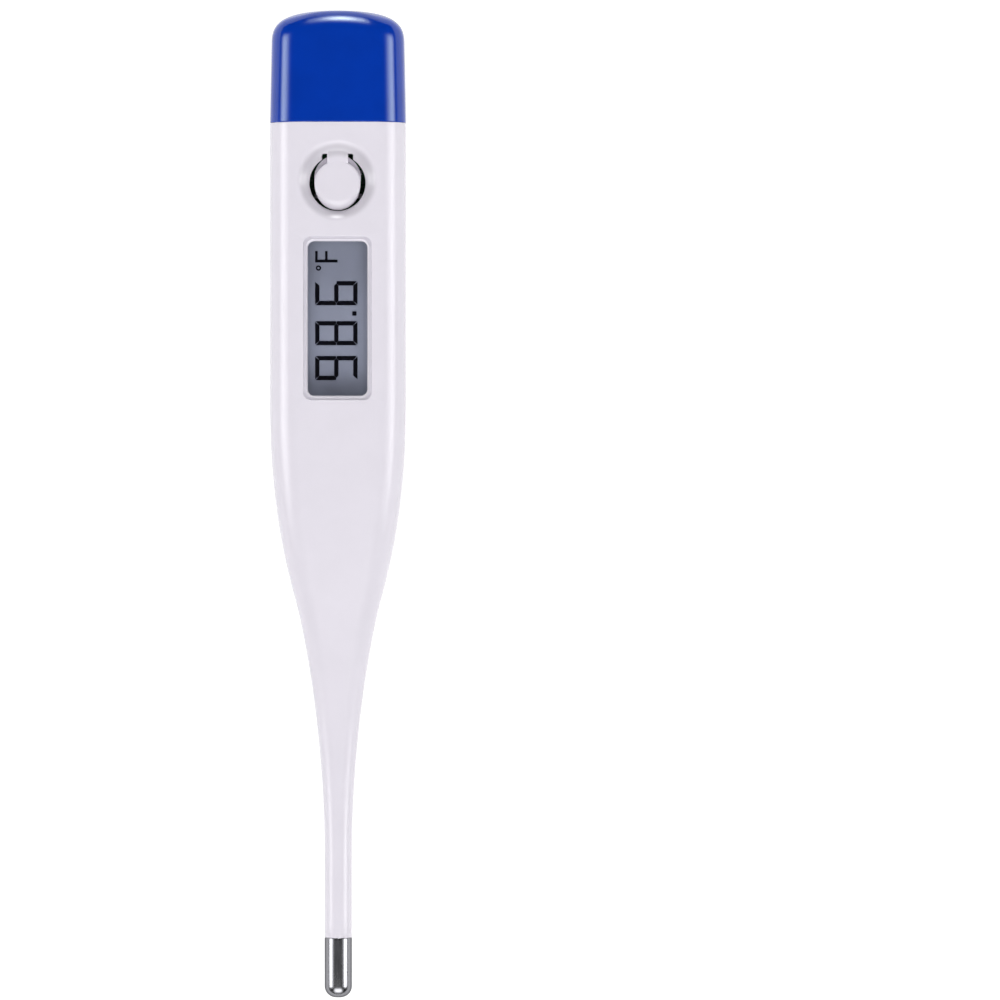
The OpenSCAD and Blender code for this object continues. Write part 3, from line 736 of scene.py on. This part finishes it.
def face_shell():
    """Tilted disc of the button, cut flat underneath."""
    angles = turns(ROUND_STEPS)
    axis = Vector((0, math.sin(TILT), math.cos(TILT)))
    across = Vector((1, 0, 0))
    along = axis.cross(across)
    middle = Vector((0, BUTTON_Y, FACE_Z))
    wide, deep = FACE_SOFT
    front_wide, front_deep = FACE_FRONT
    front_share = [max(0.0, -math.sin(a)) ** 2 for a in angles]
    rows = [(r, 0.0) for r in (CENTRE_R, 1.2, 2.1, BUTTON_R - wide - 0.03)]
    rows += [
        (BUTTON_R - wide + 0.02, 0.012),
        (BUTTON_R - 0.03, deep),
        (BUTTON_R, deep + 0.05),
    ]
    rings = []
    for r, depth in rows:
        ring = []
        for a, front in zip(angles, front_share):
            narrow = front_wide * front * (r < BUTTON_R - deep) * r / BUTTON_R
            sunk = depth + FACE_CROWN * (1 - (r / BUTTON_R) ** 2)
            sunk += front_deep * front * (depth >= deep)
            out = (r - narrow) * (math.cos(a) * across + math.sin(a) * along)
            ring.append(middle + out - sunk * axis)
        rings.append(ring)
    skirt = []
    for p, a, front in zip(rings[-1], angles, front_share):
        low = p - axis * (max(0.05, p.z - SKIRT_Z) / axis.z)
        skirt.append(low + Vector((math.cos(a), math.sin(a), 0)) * (SKIRT_FLARE * front))
    rings.append(skirt)
    rings.append([Vector((p.x, p.y, BUTTON_UNDER)) for p in skirt])
    shell = Shell()
    first, last = shell.rings(rings)
    shell.fill(first)
    shell.fill(last)
    return shell


def flange_shell():
    """Low round flange under the face, shifted towards the neck."""
    full, shift, low, high = FLANGE
    profile = [(0.3, low), (0.0, low), (0.0, high - 0.08), (0.03, high - 0.02), (0.1, high)]
    rings = [
        [
            ((full - inset) * math.cos(a), BUTTON_Y + shift + (full - inset) * math.sin(a), z)
            for a in turns(FLANGE_STEPS)
        ]
        for inset, z in profile
    ]
    shell = Shell()
    first, last = shell.rings(rings)
    shell.fill(first)
    shell.fill(last)
    return shell


def make_button():
    """Face, flange and neck of the button as one closed piece."""
    piece = face_shell().build("button_tongue")
    for part in (flange_shell().build("button_flange"), tongue_shell().build("button_neck")):
        join = piece.modifiers.new("join", "BOOLEAN")
        join.operation = "UNION"
        join.solver = "EXACT"
        join.object = part
        bake_modifiers(piece)
        bpy.data.objects.remove(part)
    flatten_normals(piece)
    return piece


def bake_modifiers(piece):
    """Turns a piece's modifiers into its own mesh."""
    view = bpy.context.evaluated_depsgraph_get()
    mesh = bpy.data.meshes.new_from_object(piece.evaluated_get(view))
    piece.modifiers.clear()
    piece.data = mesh
    smooth(mesh, BUTTON_SHARP)


def make_tip():
    """Drawn steel cap: a tube with a rounded, slightly blunt end."""
    middle_r, middle_y = NECK_R - TIP_CORNER, TIP_END + TIP_CORNER
    outer = [(NECK_R - inset, TIP_SEAM - depth) for inset, depth in reversed(quarter(TIP_LIP_R))]
    outer += [(NECK_R, y) for y in steps(TIP_SEAM - 0.3, middle_y, 5)]
    outer += [
        (middle_r + TIP_CORNER * math.cos(a), middle_y - TIP_CORNER * math.sin(a))
        for a in steps(0, math.pi / 2, 14)[1:]
    ]
    outer.append((CENTRE_R, TIP_END))
    inner = [(CENTRE_R, TIP_END + 2 * TIP_WALL), (middle_r, TIP_END + 2 * TIP_WALL)]
    inner += [(NECK_R - TIP_WALL, middle_y), (NECK_R - TIP_WALL, TIP_SEAM)]
    shell = Shell()
    rings = [
        [(r * math.cos(a), y, NECK_Z + r * math.sin(a)) for a in turns(ROUND_STEPS)]
        for r, y in outer + inner
    ]
    first, last = shell.rings(rings)
    shell.bridge(last, first)
    piece = shell.build("steel_tip")
    flatten_normals(piece)
    return piece


# ---------------------------------------------------------------- materials

NOISE_RANGE = (0.3, 0.7)   # between which nearly all of the noise lies
WHITE = (0.72, 0.69, 0.757)
BLUE = (0.0003, 0.0325, 0.345)
# Painted shade: the white is darkened in a ring round the button, on the walls of its dish
PAINTED_SHADE_TONE = 0.78              # how dark the painted shade in the ring round the button is
PAINTED_SHADE_RADII = (2.95, 3.75, 4.4, 5.3)  # where it starts, is darkest from and to, and ends
PAINTED_SHADE_SHIFT = 0.2
PAINTED_HIGHLIGHT_TONE = 1.36        # how bright the painted highlight on the slope round the display is
PAINTED_HIGHLIGHT_DEPTHS = (0.02, 0.5)  # where that painted highlight starts and ends, under the ledge


def shader(name):
    """New material and its Principled shader."""
    material = bpy.data.materials.new(name)
    material.use_nodes = True
    return material, material.node_tree, material.node_tree.nodes["Principled BSDF"]


def value_noise(tree, scale, detail, stretch=(1, 1, 1)):
    """Noise over the object's own coordinates, in metres, with scale per metre."""
    coords = tree.nodes.new("ShaderNodeTexCoord")
    mapping = tree.nodes.new("ShaderNodeMapping")
    mapping.inputs["Scale"].default_value = stretch
    noise = tree.nodes.new("ShaderNodeTexNoise")
    noise.inputs["Scale"].default_value = scale
    noise.inputs["Detail"].default_value = detail
    tree.links.new(coords.outputs["Object"], mapping.inputs["Vector"])
    tree.links.new(mapping.outputs["Vector"], noise.inputs["Vector"])
    return noise.outputs["Fac"]


def spread(tree, source, low, high):
    """Maps a noise value to a range."""
    ramp = tree.nodes.new("ShaderNodeMapRange")
    ramp.inputs["From Min"].default_value, ramp.inputs["From Max"].default_value = NOISE_RANGE
    ramp.inputs["To Min"].default_value = low
    ramp.inputs["To Max"].default_value = high
    tree.links.new(source, ramp.inputs["Value"])
    return ramp.outputs["Result"]


def blend(tree, share, first, second):
    """Colour between two, each given as a colour or as a node's output, by a share."""
    mix = tree.nodes.new("ShaderNodeMix")
    mix.data_type = "RGBA"
    for slot, colour in (("A", first), ("B", second)):
        if isinstance(colour, tuple):
            mix.inputs[slot].default_value = (*colour, 1)
        else:
            tree.links.new(colour, mix.inputs[slot])
    tree.links.new(share, mix.inputs["Factor"])
    return mix.outputs["Result"]


def calculate(tree, operation, source, *values):
    """One arithmetic step on a value, with fixed numbers."""
    step = tree.nodes.new("ShaderNodeMath")
    step.operation = operation
    tree.links.new(source, step.inputs[0])
    for slot, value in enumerate(values, 1):
        step.inputs[slot].default_value = value
    return step.outputs["Value"]


def bell(tree, source, middle, width):
    """Smooth hump of height 1 over a value."""
    off = calculate(tree, "MULTIPLY_ADD", source, 1 / width, -middle / width)
    squared = calculate(tree, "POWER", calculate(tree, "ABSOLUTE", off), 2)
    return calculate(tree, "EXPONENT", calculate(tree, "MULTIPLY", squared, -1))


def ease(tree, source, start, end):
    """Smooth rise from 0 to 1 between two values."""
    ramp = tree.nodes.new("ShaderNodeMapRange")
    ramp.interpolation_type = "SMOOTHSTEP"
    ramp.inputs["From Min"].default_value = start
    ramp.inputs["From Max"].default_value = end
    tree.links.new(source, ramp.inputs["Value"])
    return ramp.outputs["Result"]


def combine(tree, operation, a, b):
    """One arithmetic step on two values."""
    step = tree.nodes.new("ShaderNodeMath")
    step.operation = operation
    tree.links.new(a, step.inputs[0])
    tree.links.new(b, step.inputs[1])
    return step.outputs["Value"]


def relief(tree, bsdf, source, depth_mm):
    """Bump from a noise value, depth in millimetres."""
    bump = tree.nodes.new("ShaderNodeBump")
    bump.inputs["Strength"].default_value = 1.0
    bump.inputs["Distance"].default_value = depth_mm * MM
    tree.links.new(source, bump.inputs["Height"])
    tree.links.new(bump.outputs["Normal"], bsdf.inputs["Normal"])


def shade(colour, by):
    """Darker or lighter colour."""
    return tuple(min(1.0, v * by) for v in colour)


def solid(
    name, colour, rough, variation, mottle, grain, depth,
    metallic=0.0, ior=1.5, stretch=(1, 1, 1), edge=(1.0, 1.0, 1.0),
):
    """Opaque finish: mottled colour, uneven gloss and a fine relief.

    variation is the share by which the colour varies, mottle and grain the scales of its
    spots and of its relief per metre, and depth the relief's depth in millimetres.
    """
    material, tree, bsdf = shader(name)
    broad = value_noise(tree, mottle, 3.0, stretch)
    fine = value_noise(tree, grain, 5.0, stretch)
    darker, lighter = shade(colour, 1 - variation), shade(colour, 1 + variation)
    mottled = blend(tree, spread(tree, broad, 0, 1), darker, lighter)
    tree.links.new(mottled, bsdf.inputs["Base Color"])
    tree.links.new(spread(tree, fine, rough * 0.85, rough * 1.15), bsdf.inputs["Roughness"])
    relief(tree, bsdf, fine, depth)
    bsdf.inputs["Metallic"].default_value = metallic
    bsdf.inputs["IOR"].default_value = ior
    bsdf.inputs["Specular Tint"].default_value = (*edge, 1)
    return material


def clear(name, tint, rough, head_on=0.04):
    """Thin clear sheet: it lets light through and reflects more at a glancing angle."""
    material = bpy.data.materials.new(name)
    material.use_nodes = True
    tree = material.node_tree
    tree.nodes.remove(tree.nodes["Principled BSDF"])
    smear = value_noise(tree, 300, 3.0)
    gloss = tree.nodes.new("ShaderNodeBsdfGlossy")
    tree.links.new(spread(tree, smear, rough * 0.6, rough * 1.5), gloss.inputs["Roughness"])
    through = tree.nodes.new("ShaderNodeBsdfTransparent")
    through.inputs["Color"].default_value = (*tint, 1)
    facing = tree.nodes.new("ShaderNodeLayerWeight")
    facing.inputs["Blend"].default_value = 0.5
    glancing = calculate(tree, "POWER", facing.outputs["Facing"], 5)
    share = calculate(tree, "MULTIPLY_ADD", glancing, 1 - head_on, head_on)
    mix = tree.nodes.new("ShaderNodeMixShader")
    tree.links.new(share, mix.inputs["Fac"])
    tree.links.new(through.outputs["BSDF"], mix.inputs[1])
    tree.links.new(gloss.outputs["BSDF"], mix.inputs[2])
    tree.links.new(mix.outputs["Shader"], tree.nodes["Material Output"].inputs["Surface"])
    return material


def housing_plastic():
    """White plastic, with painted shade in a ring round the button's dish and a painted highlight
    on the slope round the display.
    """
    material = solid("housing_plastic", WHITE, 0.24, 0.012, 260, 9000, 0.0008, ior=1.45)
    tree = material.node_tree
    base = tree.nodes["Principled BSDF"].inputs["Base Color"]
    clean = base.links[0].from_socket
    # Painted shade: the base colour darkens in a ring round the button, on the walls of its dish
    coords = tree.nodes.new("ShaderNodeTexCoord")
    far = tree.nodes.new("ShaderNodeVectorMath")
    far.operation = "DISTANCE"
    far.inputs[1].default_value = (0, (BUTTON_Y + PAINTED_SHADE_SHIFT) * MM, DISH_Z * MM)
    tree.links.new(coords.outputs["Object"], far.inputs[0])
    start, full, fade, end = (r * MM for r in PAINTED_SHADE_RADII)
    rise = ease(tree, far.outputs["Value"], start, full)
    fall = ease(tree, far.outputs["Value"], end, fade)
    with_painted_shade = blend(tree, combine(tree, "MULTIPLY", rise, fall), clean, shade(WHITE, PAINTED_SHADE_TONE))

    # Painted highlight: the base colour is lightened on the slope round the display opening, in
    # place of a glint on its edge
    split = tree.nodes.new("ShaderNodeSeparateXYZ")
    tree.links.new(coords.outputs["Object"], split.inputs["Vector"])
    across = calculate(tree, "ABSOLUTE", split.outputs["X"])
    along = calculate(tree, "SUBTRACT", split.outputs["Y"], WINDOW_Y * MM)
    along = calculate(tree, "ABSOLUTE", along)
    slope, *others = (
        calculate(tree, test, value, limit * MM)
        for test, value, limit in (
            ("LESS_THAN", across, WINDOW_HALF[0]),
            ("LESS_THAN", along, WINDOW_HALF[1]),
            ("LESS_THAN", split.outputs["Z"], LEDGE_Z - PAINTED_HIGHLIGHT_DEPTHS[0]),
            ("GREATER_THAN", split.outputs["Z"], LEDGE_Z - PAINTED_HIGHLIGHT_DEPTHS[1]),
        )
    )
    for other in others:
        slope = combine(tree, "MULTIPLY", slope, other)
    tree.links.new(blend(tree, slope, with_painted_shade, shade(WHITE, PAINTED_HIGHLIGHT_TONE)), base)
    return material


# Opaque finishes: colour, roughness, variation, mottle, grain and depth, as solid takes them
OPAQUE = {
    "cover_plastic": (BLUE, 0.14, 0.05, 260, 9000, 0.0004),
    "rear_glass": ((0.35, 0.37, 0.48), 0.5, 0.04, 180, 12000, 0.001),
    "reflector_film": ((0.36, 0.38, 0.37), 0.4, 0.05, 800, 12000, 0.002),
    "segment_ink": ((0.002, 0.002, 0.006), 0.4, 0.2, 2500, 12000, 0.001),
    "frame_plastic": ((0.78, 0.78, 0.76), 0.45, 0.02, 400, 7000, 0.003),
    "conductive_rubber": ((0.05, 0.05, 0.055), 0.6, 0.9, 1400, 7000, 0.004),
    "silicone": ((0.6, 0.61, 0.6), 0.55, 0.04, 500, 6000, 0.004),
    "tip_steel": ((0.30, 0.30, 0.32), 0.25, 0.02, 500, 5000, 0.0006),
    "potting_resin": ((0.06, 0.05, 0.045), 0.4, 0.1, 900, 6000, 0.004),
    "bead_glass": ((0.02, 0.014, 0.01), 0.15, 0.2, 900, 6000, 0.002),
    "lead_enamel": ((0.5, 0.03, 0.015), 0.25, 0.08, 900, 6000, 0.003),
    "sleeve_film": ((0.7, 0.55, 0.22), 0.4, 0.08, 700, 6000, 0.004),
    "board_laminate": ((0.012, 0.11, 0.035), 0.28, 0.35, 900, 3500, 0.012),
    "chip_black": ((0.012, 0.012, 0.013), 0.3, 0.2, 800, 4000, 0.006),
    "capacitor_ceramic": ((0.36, 0.25, 0.12), 0.5, 0.12, 2000, 9000, 0.006),
    "solder": ((0.72, 0.72, 0.74), 0.22, 0.05, 2500, 9000, 0.006),
    "switch_plastic": ((0.014, 0.014, 0.016), 0.5, 0.15, 1500, 8000, 0.004),
    "plunger_plastic": ((0.55, 0.035, 0.02), 0.4, 0.06, 1500, 8000, 0.003),
    "spring_steel": ((0.66, 0.64, 0.58), 0.25, 0.05, 900, 6000, 0.003),
    "tinned_steel": ((0.7, 0.7, 0.72), 0.35, 0.06, 900, 6000, 0.005),
    "buzzer_brass": ((0.72, 0.5, 0.2), 0.3, 0.1, 700, 6000, 0.004),
    "buzzer_ceramic_white": ((0.7, 0.69, 0.66), 0.5, 0.05, 900, 7000, 0.005),
    "foam": ((0.04, 0.04, 0.042), 0.85, 0.3, 2500, 9000, 0.03),
    "cell_steel": ((0.76, 0.76, 0.77), 0.2, 0.04, 500, 7000, 0.003),
    "cell_gasket": ((0.02, 0.06, 0.045), 0.45, 0.1, 900, 7000, 0.004),
    "cell_paste": ((0.03, 0.03, 0.032), 0.8, 0.3, 1500, 7000, 0.02),
}

# What some of them have besides: metal, refraction, drawn or striped grain, edge tint
SPECIAL = {
    "cover_plastic": {"ior": 1.51, "edge": (0.86, 1.0, 1.0)},
    "segment_ink": {"ior": 1.05},
    "conductive_rubber": {"stretch": (0, 1, 0)},
    "tip_steel": {"metallic": 1.0, "stretch": (1, 0.06, 1), "edge": (0.2, 0.2, 0.2)},
    "solder": {"metallic": 1.0},
    "spring_steel": {"metallic": 1.0, "stretch": (1, 0.1, 1)},
    "tinned_steel": {"metallic": 1.0},
    "buzzer_brass": {"metallic": 1.0},
    "cell_steel": {"metallic": 1.0, "stretch": (1, 0.2, 1)},
}

MATERIALS = {
    "housing_plastic": housing_plastic(),
    "clear_window": clear("clear_window", (0.995, 0.997, 1.0), 0.06),
    "display_glass": clear("display_glass", (0.985, 0.99, 0.99), 0.1, 0.003),
    "polariser_film": clear("polariser_film", (0.96, 0.965, 0.965), 0.25, 0.01),
    **{name: solid(name, *look, **SPECIAL.get(name, {})) for name, look in OPAQUE.items()},
}


# ---------------------------------------------------------------- pieces and the frame


def dress(piece, slot):
    """Gives a piece the finish of a slot."""
    piece.data.materials.clear()
    piece.data.materials.append(MATERIALS[slot])


def stand_for(piece, body, node, slot):
    """The piece rides on a body, stands for a CAD node and takes a finish."""
    dress(piece, slot)
    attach(piece, body)
    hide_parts(node)


def bevelled(node):
    """Softens a CAD node's hard edges."""
    bevel = node.modifiers.new("soft_edges", "BEVEL")
    bevel.width = NODE_SOFT * MM
    bevel.segments = 2
    bevel.limit_method = "ANGLE"
    bevel.angle_limit = math.radians(30)
    bevel.harden_normals = True


def dress_nodes():
    """Gives every CAD node the finish of its slot, and the hard ones soft edges."""
    slots = {s["node"]: s["material_slot"] for s in frame["record"]["subparts"]}
    no_bevel = {"lcd_segments", "thermistor_leads", "switch_dome", "buzzer_wires"}
    for name, node in frame["nodes"].items():
        dress(node, "rear_glass" if name == "lcd_rear_glass" else slots[name])
        if name not in no_bevel:
            bevelled(node)


def copy_of(node, name):
    """Piece with the mesh of a CAD node."""
    piece = bpy.data.objects.new(name, frame["nodes"][node].data.copy())
    bpy.context.scene.collection.objects.link(piece)
    return piece


def make_leads():
    """Sensor wires: a copy of the CAD leads, fixed in place."""
    piece = copy_of("thermistor_leads", "sensor_wires")
    dress(piece, "lead_enamel")
    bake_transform(piece)
    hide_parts("thermistor_leads")


def make_dome():
    """Snap dome of the switch: a copy of the CAD node, riding on the module."""
    piece = copy_of("switch_dome", "snap_dome")
    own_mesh(piece)
    stand_for(piece, "module", "switch_dome", "spring_steel")


dress_nodes()
stand_for(make_housing(), "housing", "housing", "housing_plastic")
stand_for(make_cover(), "cover", "battery_cover", "cover_plastic")
stand_for(make_lens(), "housing", "display_window", "clear_window")
front_glass = clear_plate("lcd_front_glass", "display_front", 0.1)
stand_for(front_glass, "module", "lcd_front_glass", "display_glass")
front_film = clear_plate("front_polariser", "front_film", 0.2)
stand_for(front_film, "module", "front_polariser", "polariser_film")
stand_for(make_button(), "button", "power_button", "housing_plastic")
stand_for(make_tip(), "housing", "probe_tip", "tip_steel")
make_leads()
make_dome()


# ---------------------------------------------------------------- stage, light and camera

# Sizes from here on are in metres
FLOOR_SIZE = 4
FLOOR_DROP = 0.0001        # how far it lies under the thermometer's back
FLOOR_ALBEDO = 0.3
FLOOR_ROUGH = 0.9
FLOOR_GLOW = 0.86

CAMERA_DISTANCE = 0.94
CAMERA_PLANE = 0.005       # height at which the picture is PICTURE_WIDTH wide
CAMERA_MIDDLE = (0.02085, 0.0006)
PICTURE_WIDTH = 0.1289

# Four soft lights round the object in a dark room: one on each side, one past the cover and
# one past the probe. Angles are in degrees from straight up. A reach says where a light fades
# along its length, as the sine of the angle from its middle.
SIDE_ANGLE = 66
SIDE_SPREAD = 15
SIDE_BRIGHT = 8.0
SIDE_FADE = (72, 86)       # angles between which the side lights fade out above the floor
SIDE_REACH = (0.07, 0.25)
END_ANGLE = 66
END_SPREAD = 15
END_REACH = 0.08
END_BRIGHT = 28.0
PROBE_ANGLE = 45
PROBE_SPREAD = 20
PROBE_REACH = (0.3, 0.6)
PROBE_BRIGHT = 4.75
ROOM = 0.03


def make_floor():
    """White paper that glows a little, so that it stays white round the object."""
    bpy.ops.mesh.primitive_plane_add(size=FLOOR_SIZE, location=(0, 0, -FLOOR_DROP))
    floor = bpy.context.object
    floor.name = "floor"
    material, _, bsdf = shader("floor_paper")
    bsdf.inputs["Base Color"].default_value = (FLOOR_ALBEDO,) * 3 + (1,)
    bsdf.inputs["Roughness"].default_value = FLOOR_ROUGH
    bsdf.inputs["Specular IOR Level"].default_value = 0.0
    bsdf.inputs["Emission Color"].default_value = (1, 1, 1, 1)
    bsdf.inputs["Emission Strength"].default_value = FLOOR_GLOW
    floor.data.materials.append(material)


def make_world():
    """Soft studio light from all round: what lies in each direction, by its angle."""
    world = bpy.data.worlds.new("studio")
    bpy.context.scene.world = world
    world.use_nodes = True
    tree = world.node_tree
    coords = tree.nodes.new("ShaderNodeTexCoord")
    split = tree.nodes.new("ShaderNodeSeparateXYZ")
    tree.links.new(coords.outputs["Generated"], split.inputs["Vector"])
    x, y, z = (split.outputs[axis] for axis in "XYZ")
    beside = calculate(tree, "ABSOLUTE", x)

    around = combine(tree, "ARCTAN2", beside, z)
    sides = bell(tree, around, math.radians(SIDE_ANGLE), math.radians(SIDE_SPREAD))
    reach = ease(tree, calculate(tree, "ABSOLUTE", y), *reversed(SIDE_REACH))
    sides = combine(tree, "MULTIPLY", sides, reach)
    edge = ease(tree, around, *(math.radians(a) for a in reversed(SIDE_FADE)))
    sides = combine(tree, "MULTIPLY", sides, edge)

    towards_cover = combine(tree, "ARCTAN2", y, z)
    end = bell(tree, towards_cover, math.radians(END_ANGLE), math.radians(END_SPREAD))
    end = combine(tree, "MULTIPLY", end, bell(tree, x, 0.0, END_REACH))

    probe = bell(tree, towards_cover, math.radians(-PROBE_ANGLE), math.radians(PROBE_SPREAD))
    probe = combine(tree, "MULTIPLY", probe, ease(tree, beside, *reversed(PROBE_REACH)))

    total = calculate(tree, "MULTIPLY_ADD", sides, SIDE_BRIGHT, ROOM)
    for light, brightness in ((end, END_BRIGHT), (probe, PROBE_BRIGHT)):
        total = combine(tree, "ADD", total, calculate(tree, "MULTIPLY", light, brightness))
    tree.links.new(total, tree.nodes["Background"].inputs["Strength"])
    tree.nodes["Background"].inputs["Color"].default_value = (1, 1, 1, 1)


def make_camera():
    """Long lens straight above."""
    camera = bpy.data.cameras.new("camera")
    camera.sensor_width = 36
    camera.lens = camera.sensor_width * CAMERA_DISTANCE / PICTURE_WIDTH
    camera.clip_start = 0.01
    holder = bpy.data.objects.new("camera", camera)
    holder.location = (*CAMERA_MIDDLE, CAMERA_PLANE + CAMERA_DISTANCE)
    bpy.context.scene.collection.objects.link(holder)
    bpy.context.scene.camera = holder


make_floor()
make_world()
make_camera()
bpy.context.scene.view_settings.view_transform = "Standard"
